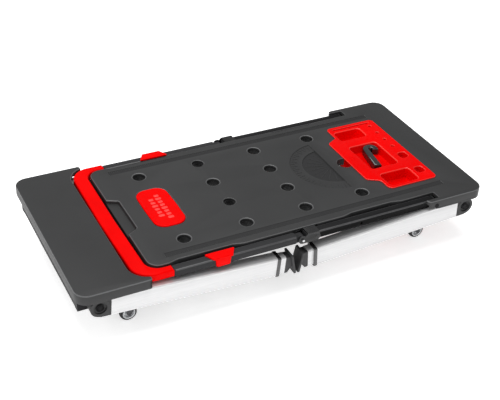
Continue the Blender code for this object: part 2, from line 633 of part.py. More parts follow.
def make_leg(end, sx, side, sy):
    tag = f"{end}_{side}"
    rig = bpy.data.objects.new(f"leg_axis_{tag}", None)
    PARTS.objects.link(rig)
    rig.matrix_world = leg_matrix(sx, sy)
    # which way is outside the deck, seen in leg space
    out = sy if sx < 0 else -sy
    hang = []

    knuckle = cylinder(f"leg_knuckle_{tag}", (0, 0, 0), "Y", KNUCKLE_R, TUBE_W, DARK_PLASTIC, None, 22)
    plug = box(f"plug_{tag}", (0, -TUBE_W / 2 + 0.0005, -TUBE_H / 2 + 0.0015),
               (TUBE_START - GAP, TUBE_W / 2 - 0.0005, TUBE_H / 2 - 0.0015), None, CUTTERS)
    spigot = box(f"spigot_{tag}", (0, -TUBE_W / 2 + 0.0026, -TUBE_H / 2 + 0.0026),
                 (0.060, TUBE_W / 2 - 0.0026, TUBE_H / 2 - 0.0026), None, CUTTERS)
    bevel(spigot, 0.005, 1)
    join(knuckle, plug, spigot)
    bore = ccyl(f"knuckle_bore_{tag}", (0, 0, 0), "Y", BOLT_R + GAP, 0.060, 12)
    seat = ccyl(f"knuckle_seat_{tag}", (0, out * TUBE_W / 2, 0), "Y", 0.0150, 0.007, 18)
    cut(knuckle, bore, seat)
    hang += [knuckle, plug, spigot, bore, seat]

    collar_wall = (TUBE_W + 0.003 - INNER_W) / 2 - GAP
    sections = (("leg_tube", TUBE_W, TUBE_H, TUBE_WALL, TUBE_START, TUBE_END, ALUMINIUM),
                ("leg_collar", TUBE_W + 0.003, TUBE_H + 0.003, collar_wall, TUBE_END + GAP,
                 TUBE_END + COLLAR_LEN, BLACK_PLASTIC),
                ("leg_extension", INNER_W, INNER_H, TUBE_WALL, INNER_START, INNER_END, ALUMINIUM))
    for name, width, height, wall, start, end_u, mat in sections:
        hang.append(tube(f"{name}_{tag}", width, height, wall, start, end_u, mat))
        hang.append(bpy.data.objects[f"cut_{name}_{tag}"])

    foot = make_foot(tag)
    hang += [foot] + [bpy.data.objects[f"{part}_{tag}"] for part in ("foot_neck", "foot_plug")]
    for obj in hang:
        obj.parent = rig
    return rig


def make_foot(tag):
    """Rubber foot: a plug in the extension and a wide sole that lies flat when the leg is splayed."""
    slope = math.tan(FOOT_SPLAY)
    half, thick = TUBE_H / 2 + 0.001, 0.0065
    sole = [(FOOT_END - slope * half, half), (FOOT_END - thick - slope * half, half),
            (FOOT_END - thick + slope * half, -half), (FOOT_END + slope * half, -half)]
    foot = plate(f"leg_foot_{tag}", sole, -SOLE_W / 2, SOLE_W / 2, RUBBER, plane="XZ")
    bevel(foot, 0.0015, 1, 40)
    neck_half = INNER_H / 2
    neck = [(FOOT_END - 0.003 - slope * neck_half, neck_half - 0.002), (INNER_END + GAP, neck_half - 0.002),
            (INNER_END + GAP, -neck_half), (INNER_END + 0.008, -neck_half), (FOOT_END - 0.003, -0.004)]
    plug = box(f"foot_plug_{tag}", (INNER_END - 0.030, -INNER_W / 2 + 0.0026, -INNER_H / 2 + 0.0026),
               (INNER_END + 0.004, INNER_W / 2 - 0.0026, INNER_H / 2 - 0.0026), None, CUTTERS)
    bevel(plug, 0.003)
    join(foot, plate(f"foot_neck_{tag}", neck, -INNER_W / 2 + 0.001, INNER_W / 2 - 0.001, None, CUTTERS,
                     plane="XZ"), plug)
    return foot


def make_cross_tube(end, sx):
    """Square tube that joins the front and rear legs of one end."""
    reach = LEG_Y - TUBE_W / 2 - GAP
    cross = tube(f"leg_cross_tube_{end}", 0.022, 0.022, 0.002, -reach, reach, BLACK_STEEL)
    turn = leg_matrix(sx, 0) @ Matrix.Translation((CROSS_TUBE_U, 0, 0)) @ Matrix.Rotation(math.pi / 2, 4, "Z")
    cross.matrix_world = turn
    bpy.data.objects[f"cut_leg_cross_tube_{end}"].matrix_world = turn
    return cross


def make_leg_bolt(end, sx, side, sy):
    """Bolt that a leg turns on; its head sits in the knuckle's round recess."""
    inner, outer = SIDE_BEAM_Y[1] + 0.0015, LEG_Y + TUBE_W / 2 - 0.0010
    bolt = cylinder(f"leg_bolt_{end}_{side}", (sx * LEG_PIVOT_X, sy * (inner + outer) / 2, LEG_PIVOT_Z), "Y",
                    BOLT_R, outer - inner, BLACK_STEEL, None, 12)
    join(bolt, cylinder(f"bolt_head_{end}_{side}", (sx * LEG_PIVOT_X, sy * (outer - 0.0011), LEG_PIVOT_Z), "Y",
                        0.0095, 0.0020, None, CUTTERS, 16))
    return bolt


# ---- casters ------------------------------------------------------------------------
def make_caster(end, sx, side, sy):
    tag = f"{end}_{side}"
    x, y = sx * CASTER_X, sy * CASTER_Y
    head_top = BEAM_TOP - SIDE_BEAM_H - 2 * GAP - CASTER_BEAM_H
    axle_x = x + sx * WHEEL_TRAIL
    half_gap, cheek = WHEEL_W / 2 + 0.0015, 0.0022
    side_view = [(x - 0.0125, head_top - 0.0060), (x + 0.0125, head_top - 0.0060),
                 (axle_x + 0.0065, WHEEL_R + 0.001), (axle_x, WHEEL_R - 0.0065), (axle_x - 0.0065, WHEEL_R + 0.001)]
    fork = plate(f"caster_fork_{tag}", side_view, y - half_gap - cheek, y + half_gap + cheek, STEEL_MAT,
                 plane="XZ")
    bevel(fork, 0.0012, 1, 30)
    cut(fork, cbox(f"fork_gap_{tag}", (x - 0.06, y - half_gap, -0.01),
                   (x + 0.06, y + half_gap, 2 * WHEEL_R + 0.003)))
    join(fork, cylinder(f"swivel_{tag}", (x, y, head_top - 0.0042), "Z", 0.0150, 0.0080, None, CUTTERS, 16),
         cylinder(f"axle_{tag}", (axle_x, y, WHEEL_R), "Y", 0.0030, 2 * (half_gap + cheek) + 0.002,
                  None, CUTTERS, 10))
    set_origin(fork, (x, y, head_top))

    wheel = cylinder(f"caster_wheel_{tag}", (axle_x, y, WHEEL_R), "Y", WHEEL_R, WHEEL_W, RUBBER, None, 22)
    bevel(wheel, 0.0030, 1, 40)
    cut(wheel, ccyl(f"wheel_bore_{tag}", (axle_x, y, WHEEL_R), "Y", 0.0034, 0.05, 12))
    for k in (-1, 1):
        cut(wheel, ccyl(f"wheel_dish_{tag}_{k}", (axle_x, y + k * WHEEL_W / 2, WHEEL_R), "Y", 0.0125, 0.004, 16))
    set_origin(wheel, (axle_x, y, WHEEL_R))
    parent_keep(wheel, fork)
    return fork


# ---- build --------------------------------------------------------------------------
clear_scene()
PARTS = make_collection("folding_platform_cart")
CUTTERS = make_collection("cutters")
DARK_PLASTIC = make_material("dark_plastic", DARK, 0.55)
BLACK_PLASTIC = make_material("black_plastic", BLACK, 0.30)
RED_PLASTIC = make_material("red_plastic", RED, 0.38)
BLACK_STEEL = make_material("black_steel", BLACK, 0.45, 0.3)
ALUMINIUM = make_material("aluminium", SILVER, 0.35, 1.0)
STEEL_MAT = make_material("zinc_steel", STEEL, 0.30, 1.0)
RUBBER = make_material("rubber", (0.020, 0.020, 0.021, 1.0), 0.70)


def build():
    make_top_panel()
    make_left_end_plate()
    make_badge()
    for index, (x, y) in enumerate(SCREW_PLACES, 1):
        make_deck_screw(index, x, y)
    make_frame()
    make_hook(make_tray())
    bow = make_bow()
    for name, sy in SIDES:
        upper = make_upper_rail(name, sy)
        lower = make_lower_rail(name, sy)
        bracket = make_hinge_bracket(name, sy)
        pin = make_hinge_pin(name, sy)
        latch = make_latch(name, sy)
        make_pivot_screw(name, sy)
        for child in (bracket, pin, upper):
            parent_keep(child, lower)
        parent_keep(latch, upper)
        if name == "front":
            parent_keep(bow, upper)
    for end, sx in ENDS:
        for side, sy in SIDES:
            make_leg(end, sx, side, sy)
            make_leg_bolt(end, sx, side, sy)
            make_caster(end, sx, side, sy)
        make_cross_tube(end, sx)


build()
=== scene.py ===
"""Looks of the folding platform cart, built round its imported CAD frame."""
import json
import math

import bmesh
import bpy
from mathutils import Matrix, Vector


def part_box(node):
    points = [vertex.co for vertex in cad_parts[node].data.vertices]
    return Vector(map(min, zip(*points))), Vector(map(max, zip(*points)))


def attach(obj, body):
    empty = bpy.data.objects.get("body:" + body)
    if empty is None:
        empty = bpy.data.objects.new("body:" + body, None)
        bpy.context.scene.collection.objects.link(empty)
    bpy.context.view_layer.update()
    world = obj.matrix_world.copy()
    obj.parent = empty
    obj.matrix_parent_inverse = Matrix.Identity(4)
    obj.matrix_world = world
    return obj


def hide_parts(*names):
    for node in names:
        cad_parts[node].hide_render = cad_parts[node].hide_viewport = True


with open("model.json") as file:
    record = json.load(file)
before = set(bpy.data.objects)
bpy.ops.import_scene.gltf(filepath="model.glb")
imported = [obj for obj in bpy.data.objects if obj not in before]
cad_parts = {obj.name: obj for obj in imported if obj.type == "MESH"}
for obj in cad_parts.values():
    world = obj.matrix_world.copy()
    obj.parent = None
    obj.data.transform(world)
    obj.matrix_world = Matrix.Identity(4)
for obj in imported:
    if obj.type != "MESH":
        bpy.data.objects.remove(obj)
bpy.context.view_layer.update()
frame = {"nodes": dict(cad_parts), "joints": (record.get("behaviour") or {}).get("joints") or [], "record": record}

RECORD = frame["record"]
BODY_OF = {node: body for body, nodes in RECORD["behaviour"]["bodies"].items() for node in nodes}
JOINTS = {joint["name"]: joint for joint in frame["joints"]}
OPENINGS = {o["name"]: (Vector(o["box_m"][0]), Vector(o["box_m"][1])) for o in RECORD["physics"]["openings"]}
SIDES = (("front", -1), ("rear", 1))
ENDS = (("left", -1), ("right", 1))
CORNERS = [(f"{end}_{side}", sx) for end, sx in ENDS for side, _ in SIDES]

PANEL_LO, PANEL_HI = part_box("top_panel")
TRAY_LO, TRAY_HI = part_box("tool_tray")
TOP = PANEL_HI.z                     # the deck's surface
HOLES = [(box[0] + box[1]) / 2 for name, box in sorted(OPENINGS.items()) if name.startswith("bench_hole")]


# ---- sizes shared by several pieces -----------------------------------------------------
RULERS = ((-0.302, 0.438),)          # first and last x of the ruler grooves
PROTRACTOR_X = 0.226                 # centre of the protractor's arcs
HORN_X = -0.3560                     # where the left end plate's horns end
WEB_WALL = 0.0022                    # half of a rib's thickness under the mouldings
TUBE_CORNER = 0.0035                 # corner radius of the leg extrusions
# x from, x to, y from, y to and depth of the tray's pockets
POCKETS = ((0.306, 0.385, 0.083, 0.129, 0.027), (0.305, 0.388, -0.062, 0.051, 0.022),
           (0.309, 0.395, -0.144, -0.088, 0.027))
FLOOR_SIZE = 60.0


# ---- materials ------------------------------------------------------------------------
class Graph:
    """A small helper that adds and wires shader nodes."""

    def __init__(self, name):
        self.mat = bpy.data.materials.new(name)
        self.mat.use_nodes = True
        self.nodes = self.mat.node_tree.nodes
        self.links = self.mat.node_tree.links
        self.shader = self.nodes["Principled BSDF"]
        self.coords = self.nodes.new("ShaderNodeTexCoord").outputs["Object"]

    def add(self, kind, settings=(), **inputs):
        node = self.nodes.new(kind)
        for key, value in dict(settings).items():
            setattr(node, key, value)
        for key, value in inputs.items():
            self.feed(node.inputs[key.replace("_", " ")], value)
        return node

    def feed(self, socket, value):
        if isinstance(value, bpy.types.NodeSocket):
            self.links.new(value, socket)
        else:
            socket.default_value = value

    def noise(self, scale, detail=3.0, stretch=(1, 1, 1), roughness=0.55):
        vector = self.coords
        if stretch != (1, 1, 1):
            vector = self.add("ShaderNodeMapping", Vector=vector, Scale=stretch).outputs[0]
        return self.add("ShaderNodeTexNoise", Vector=vector, Scale=scale, Detail=detail,
                        Roughness=roughness).outputs["Fac"]

    def ramp(self, value, lo, hi, out_lo=0.0, out_hi=1.0):
        node = self.nodes.new("ShaderNodeMapRange")
        for socket, item in zip(node.inputs[:5], (value, lo, hi, out_lo, out_hi)):
            self.feed(socket, item)
        return node.outputs[0]

    def mix(self, factor, a, b):
        node = self.add("ShaderNodeMix", {"data_type": "RGBA"})
        self.feed(node.inputs[0], factor)
        self.feed(node.inputs[6], a)
        self.feed(node.inputs[7], b)
        return node.outputs[2]

    def maths(self, operation, a, b):
        node = self.nodes.new("ShaderNodeMath")
        node.operation = operation
        self.feed(node.inputs[0], a)
        self.feed(node.inputs[1], b)
        return node.outputs[0]

    def edges(self, lo=0.50, hi=0.56):
        """1 on sharp convex edges and 0 elsewhere."""
        pointy = self.add("ShaderNodeNewGeometry").outputs["Pointiness"]
        return self.ramp(pointy, lo, hi)

    def bump(self, height, strength, distance):
        node = self.add("ShaderNodeBump", Height=height, Strength=strength, Distance=distance)
        self.links.new(node.outputs[0], self.shader.inputs["Normal"])


def shade(color, factor):
    return (*[min(1.0, c * factor) for c in color[:3]], 1.0)


def plastic(name, color, roughness, grain=2600.0, strength=0.25, wear=1.9, specular=0.5):
    """Moulded plastic: fine spark-eroded grain, faint flow marks, paler worn edges and scuffs."""
    g = Graph(name)
    cloud = g.noise(9.0, 4.0)
    grain_noise = g.noise(grain, 2.0)
    scuffs = g.ramp(g.noise(60.0, 5.0, (1, 6, 1)), 0.62, 0.72)
    base = g.mix(g.ramp(cloud, 0.3, 0.7), shade(color, 0.90), shade(color, 1.08))
    base = g.mix(g.maths("MULTIPLY", scuffs, 0.12), base, shade(color, 1.6))
    base = g.mix(g.maths("MULTIPLY", g.edges(), 0.35), base, shade(color, wear))
    g.feed(g.shader.inputs["Base Color"], base)
    rough = g.ramp(cloud, 0.3, 0.7, roughness - 0.05, roughness + 0.06)
    g.feed(g.shader.inputs["Roughness"], g.maths("ADD", rough, g.maths("MULTIPLY", scuffs, 0.06)))
    g.shader.inputs["Specular IOR Level"].default_value = specular
    g.bump(grain_noise, strength, 0.00025)
    return g.mat


def powder_coat(name, color, roughness, specular=0.12):
    """Painted steel with a fine orange-peel surface and a few rubbed edges."""
    g = Graph(name)
    peel = g.noise(900.0, 2.0)
    cloud = g.noise(14.0, 3.0)
    base = g.mix(g.ramp(cloud, 0.3, 0.7), shade(color, 0.85), shade(color, 1.2))
    base = g.mix(g.maths("MULTIPLY", g.edges(0.52, 0.60), 0.5), base, (0.07, 0.07, 0.073, 1.0))
    g.feed(g.shader.inputs["Base Color"], base)
    g.feed(g.shader.inputs["Roughness"], g.ramp(cloud, 0.3, 0.7, roughness - 0.05, roughness + 0.08))
    g.shader.inputs["Specular IOR Level"].default_value = specular
    g.bump(peel, 0.20, 0.0003)
    return g.mat


def brushed(name, color, roughness, along=(6, 900, 900), wear_color=(0.35, 0.35, 0.36, 1.0), metallic=1.0):
    """Metal with drawing lines along one axis, slight stains and small scratches."""
    g = Graph(name)
    lines = g.noise(1.0, 3.0, along, 0.7)
    cloud = g.noise(11.0, 4.0)
    scratch = g.ramp(g.noise(1.0, 2.0, (25, 160, 160)), 0.66, 0.70)
    base = g.mix(g.ramp(lines, 0.35, 0.65), shade(color, 0.93), shade(color, 1.05))
    base = g.mix(g.maths("MULTIPLY", g.ramp(cloud, 0.55, 0.75), 0.15), base, wear_color)
    base = g.mix(g.maths("MULTIPLY", scratch, 0.10), base, shade(color, 0.6))
    g.feed(g.shader.inputs["Base Color"], base)
    g.feed(g.shader.inputs["Roughness"], g.ramp(lines, 0.3, 0.7, roughness - 0.07, roughness + 0.08))
    g.shader.inputs["Metallic"].default_value = metallic
    g.shader.inputs["Anisotropic"].default_value = 0.35
    g.bump(lines, 0.12, 0.0002)
    return g.mat


def rubber(name, color, roughness=0.62):
    """Dusty rubber with a faint mottled skin."""
    g = Graph(name)
    dust = g.noise(45.0, 5.0)
    fine = g.noise(1500.0, 2.0)
    base = g.mix(g.ramp(dust, 0.45, 0.75), color, shade(color, 2.2))
    base = g.mix(g.maths("MULTIPLY", g.edges(0.52, 0.6), 0.3), base, shade(color, 3.0))
    g.feed(g.shader.inputs["Base Color"], base)
    g.feed(g.shader.inputs["Roughness"], g.ramp(dust, 0.3, 0.7, roughness - 0.08, roughness + 0.12))
    g.bump(fine, 0.3, 0.0003)
    return g.mat


DARK = plastic("dark_plastic", (0.0275, 0.0278, 0.0283, 1), 0.50, specular=0.28)
# painted shade: near-black plastic for hole walls, screw-seat walls and the shelf under the grip, where shade
# falls
RECESS_SHADE = plastic("painted_recess_shade", (0.008, 0.008, 0.0085, 1), 0.60, specular=0.25)
# painted shade: a darker copy of the deck plastic for the floors of the ruler grooves and the protractor's inner
# recess
GROOVE_SHADE = plastic("painted_groove_shade", (0.0215, 0.0215, 0.0223, 1), 0.60, specular=0.24)
# painted highlight: a lighter red for the tray's rounded lips, together with a glossier finish
RED_LIP_HIGHLIGHT = plastic("red_lip_painted_highlight", (0.93, 0.030, 0.022, 1), 0.28, 2200.0, 0.05, 1.1, 0.45)
# painted highlight: a paler dark plastic put on rounded rims and hole mouths, standing in for light caught there
RIM_HIGHLIGHT = plastic("painted_rim_highlight", (0.085, 0.086, 0.088, 1), 0.42, specular=0.5)
RED = plastic("red_plastic", (0.80, 0.0004, 0.0004, 1), 0.34, 2200.0, 0.08, 1.08, 0.03)
GLOSS = plastic("black_gloss", (0.006, 0.006, 0.0065, 1), 0.16, 1500.0, 0.03, 3.0, 0.9)
STEEL = powder_coat("black_steel", (0.0020, 0.0020, 0.0022, 1), 0.42, 0.05)
BRACKET = powder_coat("bracket_steel", (0.004, 0.004, 0.0043, 1), 0.26, 0.35)
# painted highlight: a lighter steel on the rails' upward-facing rounded edges
RAIL_HIGHLIGHT = powder_coat("steel_edge_highlight", (0.042, 0.042, 0.044, 1), 0.34, 0.4)
ALU = brushed("satin_aluminium", (0.66, 0.66, 0.665, 1), 0.38, metallic=0.35)
ZINC = brushed("zinc_steel", (0.60, 0.61, 0.62, 1), 0.28, (300, 300, 300))
FORK = brushed("fork_steel", (0.085, 0.085, 0.088, 1), 0.26, (300, 300, 300))
FOOT = rubber("foot_rubber", (0.022, 0.022, 0.023, 1))
TYRE = rubber("tyre_rubber", (0.006, 0.006, 0.006, 1), 0.60)
BADGE_INK = plastic("badge_relief", (0.88, 0.045, 0.04, 1), 0.40, 2200.0, 0.10, 1.1, 0.25)
SLOT_MATERIAL = {"dark_plastic": DARK, "black_plastic": GLOSS, "red_plastic": RED, "black_steel": STEEL,
                 "aluminium": ALU, "zinc_steel": ZINC, "foot_rubber": FOOT, "tyre": TYRE}
SLOT_OF = {entry["node"]: entry["material_slot"] for entry in RECORD["subparts"]}


# ---- shape helpers ----------------------------------------------------------------------
def add_object(name, mesh, material=None, smooth=True):
    obj = bpy.data.objects.new(name, mesh)
    bpy.context.scene.collection.objects.link(obj)
    if material is not None:
        mesh.materials.clear()
        mesh.materials.append(material)
    if smooth:
        mesh.shade_smooth()
        mesh.set_sharp_from_angle(angle=math.radians(38))
    return obj


def to_mesh(name, bm):
    bmesh.ops.recalc_face_normals(bm, faces=bm.faces)
    mesh = bpy.data.meshes.new(name)
    bm.to_mesh(mesh)
    bm.free()
    return mesh


def arc(cx, cy, radius, start, end, count):
    """Points on a circle from start to end, in degrees."""
    angles = [math.radians(start + (end - start) * i / count) for i in range(count + 1)]
    return [(cx + radius * math.cos(a), cy + radius * math.sin(a)) for a in angles]


def rounded(corners, count=8):
    """Round a polygon: corners are (x, y, radius), radius 0 stays sharp."""
    points = []
    total = len(corners)
    for i, (x, y, radius) in enumerate(corners):
        here = Vector((x, y))
        if radius == 0:
            points.append((x, y))
            continue
        to_last = (Vector(corners[i - 1][:2]) - here).normalized()
        to_next = (Vector(corners[(i + 1) % total][:2]) - here).normalized()
        half = to_last.angle(to_next) / 2
        middle = here + (to_last + to_next).normalized() * (radius / math.sin(half))
        first = here + to_last * (radius / math.tan(half)) - middle
        last = here + to_next * (radius / math.tan(half)) - middle
        start = math.atan2(first.y, first.x)
        sweep = math.atan2(last.y, last.x) - start
        sweep = (sweep + math.pi) % (2 * math.pi) - math.pi
        for k in range(count + 1):
            a = start + sweep * k / count
            points.append((middle.x + radius * math.cos(a), middle.y + radius * math.sin(a)))
    return points


def rect(x0, x1, y0, y1, radius, count=5):
    return rounded(((x1, y1, radius), (x0, y1, radius), (x0, y0, radius), (x1, y0, radius)), count)


def offset(outline, distance):
    """The outline moved outwards by distance; negative moves it in."""
    total = len(outline)
    area = sum(outline[i - 1][0] * outline[i][1] - outline[i][0] * outline[i - 1][1] for i in range(total))
    sign = 1.0 if area > 0 else -1.0
    result = []
    for i in range(total):
        before, here, after = (Vector(outline[j]) for j in (i - 1, i, (i + 1) % total))
        a = (here - before).normalized()
        b = (after - here).normalized()
        normal_a = Vector((a.y, -a.x)) * sign
        normal_b = Vector((b.y, -b.x)) * sign
        both = (normal_a + normal_b).normalized()
        reach = distance / max(0.5, both.dot(normal_a))
        result.append((here.x + both.x * reach, here.y + both.y * reach))
    return result


def loft(bm, outline, profile, place=None):
    """Adds a closed solid to bm: the outline at each (offset, z) of profile, from one cap to the other."""
    rings = []
    for distance, z in profile:
        ring = [bm.verts.new((x, y, z)) for x, y in (offset(outline, distance) if distance else outline)]
        rings.append(ring)
    total = len(outline)
    faces = [bm.faces.new(rings[0]), bm.faces.new(rings[-1])]
    for low, high in zip(rings, rings[1:]):
        for i in range(total):
            faces.append(bm.faces.new((low[i - 1], low[i], high[i], high[i - 1])))
    if place is not None:
        bmesh.ops.transform(bm, matrix=place, verts=[v for ring in rings for v in ring])
    return faces


def soft_profile(low, high, radius, steps=3, bottom=0.0):
    """(offset, z) rings of a plate whose upper rim is rounded by radius, and its lower rim by bottom."""
    rings = [(-radius * (1 - math.sin(a)), high - radius * (1 - math.cos(a)))
             for a in (math.pi / 2 * k / steps for k in range(steps + 1))]
    if bottom > 0:
        rings += [(-bottom * (1 - math.cos(a)), low + bottom * (1 - math.sin(a)))
                  for a in (math.pi / 2 * k / steps for k in range(steps + 1))]
    else:
        rings.append((0.0, low))
    return rings


def add_box(bm, lo, hi, place=None):
    lo, hi = Vector(lo), Vector(hi)
    matrix = Matrix.Translation((lo + hi) / 2) @ Matrix.Diagonal((*(hi - lo), 1.0))
    if place is not None:
        matrix = place @ matrix
    return bmesh.ops.create_cube(bm, size=1.0, matrix=matrix)["verts"]


def revolve(bm, profile, segments, place):
    """Adds a closed turned solid: profile is (radius, height) along local +Z, from one end to the other."""
    rings = []
    for radius, z in profile:
        if radius <= 0:
            rings.append([bm.verts.new(place @ Vector((0, 0, z)))])
            continue
        steps = (2 * math.pi * k / segments for k in range(segments))
        rings.append([bm.verts.new(place @ Vector((radius * math.cos(a), radius * math.sin(a), z)))
                      for a in steps])
    for low, high in zip(rings, rings[1:]):
        for i in range(segments):
            corners = [low[i - 1], low[i], high[i], high[i - 1]]
            if len(low) == 1:
                corners = [low[0], high[i], high[i - 1]]
            if len(high) == 1:
                corners = [low[i - 1], low[i], high[0]]
            bm.faces.new(corners)
    for ring in (rings[0], rings[-1]):
        if len(ring) > 1:
            bm.faces.new(ring)


def facing(point, direction):
    """A placing matrix whose local +Z looks along direction."""
    turn = Vector((0, 0, 1)).rotation_difference(Vector(direction)).to_matrix().to_4x4()
    return Matrix.Translation(point) @ turn


def boolean(obj, bm, operation="DIFFERENCE"):
    """Cuts the solids in bm out of obj, or joins them to it, and keeps the result in obj's mesh."""
    tool = add_object("tool", to_mesh("tool", bm), None, False)
    mod = obj.modifiers.new("boolean", "BOOLEAN")
    mod.operation = operation
    mod.solver = "EXACT"
    mod.use_self = False
    mod.object = tool
    bpy.context.view_layer.update()
    depsgraph = bpy.context.evaluated_depsgraph_get()
    mesh = bpy.data.meshes.new_from_object(obj.evaluated_get(depsgraph))
    obj.modifiers.clear()
    old = obj.data
    obj.data = mesh
    bpy.data.meshes.remove(old)
    bpy.data.objects.remove(tool, do_unlink=True)


def paint(obj, materials, choose):
    """Gives obj the materials and each face the one whose number choose(centre, normal) returns."""
    obj.data.materials.clear()
    for material in materials:
        obj.data.materials.append(material)
    for face in obj.data.polygons:
        face.material_index = choose(face.center, face.normal)


def smooth(obj, angle=38.0):
    obj.data.shade_smooth()
    obj.data.set_sharp_from_angle(angle=math.radians(angle))


def finish_piece(obj, node, material=None):
    """The piece rides where its node does, takes the given material if there is one and stands for it."""
    if material is not None:
        obj.data.materials.clear()
        obj.data.materials.append(material)
    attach(obj, BODY_OF[node])
    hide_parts(node)
    return obj


def extra(obj, body):
    """A small piece that stands for no CAD node of its own."""
    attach(obj, body)
    return obj


def refine(node, width, material=None, segments=2, name=None):
    """A copy of a CAD node's shape with rounded edges and smooth shading, which stands for it."""
    mesh = frame["nodes"][node].data.copy()
    bm = bmesh.new()
    bm.from_mesh(mesh)
    bmesh.ops.remove_doubles(bm, verts=bm.verts, dist=0.00001)
    bmesh.ops.dissolve_limit(bm, angle_limit=0.002, verts=bm.verts, edges=bm.edges)
    bm.to_mesh(mesh)
    bm.free()
    obj = add_object(name or node + "_shape", mesh, material or SLOT_MATERIAL[SLOT_OF[node]])
    if width > 0:
        mod = obj.modifiers.new("bevel", "BEVEL")
        mod.width = width
        mod.segments = segments
        mod.limit_method = "ANGLE"
        mod.angle_limit = math.radians(38)
        mod.harden_normals = False
    return finish_piece(obj, node)


# ---- deck --------------------------------------------------------------------------------
def panel_outline():
    """Plan of the work panel with the right end plate, narrower where the latches sit."""
    outer_x, half = PANEL_HI.x, PANEL_HI.y
    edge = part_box("lower_rail_rear")[0].y - 0.0020
    slot_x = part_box("handle_pivot_screw_rear")[0].x - 0.0195
    waist = edge - 0.0062
    left_x = PANEL_LO.x
    upper = ((outer_x, half, 0.030), (slot_x, half, 0.010), (slot_x, edge, 0.0015),
             (0.298, edge, 0.010), (0.272, waist, 0.012), (0.162, waist, 0.012),
             (0.138, edge - 0.0004, 0.012), (-0.124, edge - 0.0004, 0.012),
             (-0.148, waist - 0.0004, 0.012), (-0.280, waist - 0.0004, 0.012),
             (-0.304, edge - 0.0008, 0.012), (left_x, edge - 0.0008, 0.026))
    lower = tuple((x, -y, radius) for x, y, radius in reversed(upper))
    return rounded(upper + lower, 5)


def hole_cutter(bm, hole):
    """A bench hole with a rounded, slightly countersunk mouth."""
    place = Matrix.Translation((hole.x, hole.y, 0))
    mouth = [(0.0182, TOP + 0.004), (0.0182, TOP - 0.0001), (0.0172, TOP - 0.0003), (0.0158, TOP - 0.0011),
             (0.0146, TOP - 0.0024), (0.0138, TOP - 0.0042), (0.0135, TOP - 0.0065)]
    revolve(bm, mouth + [(0.0135, TOP - 0.05)], 40, place)


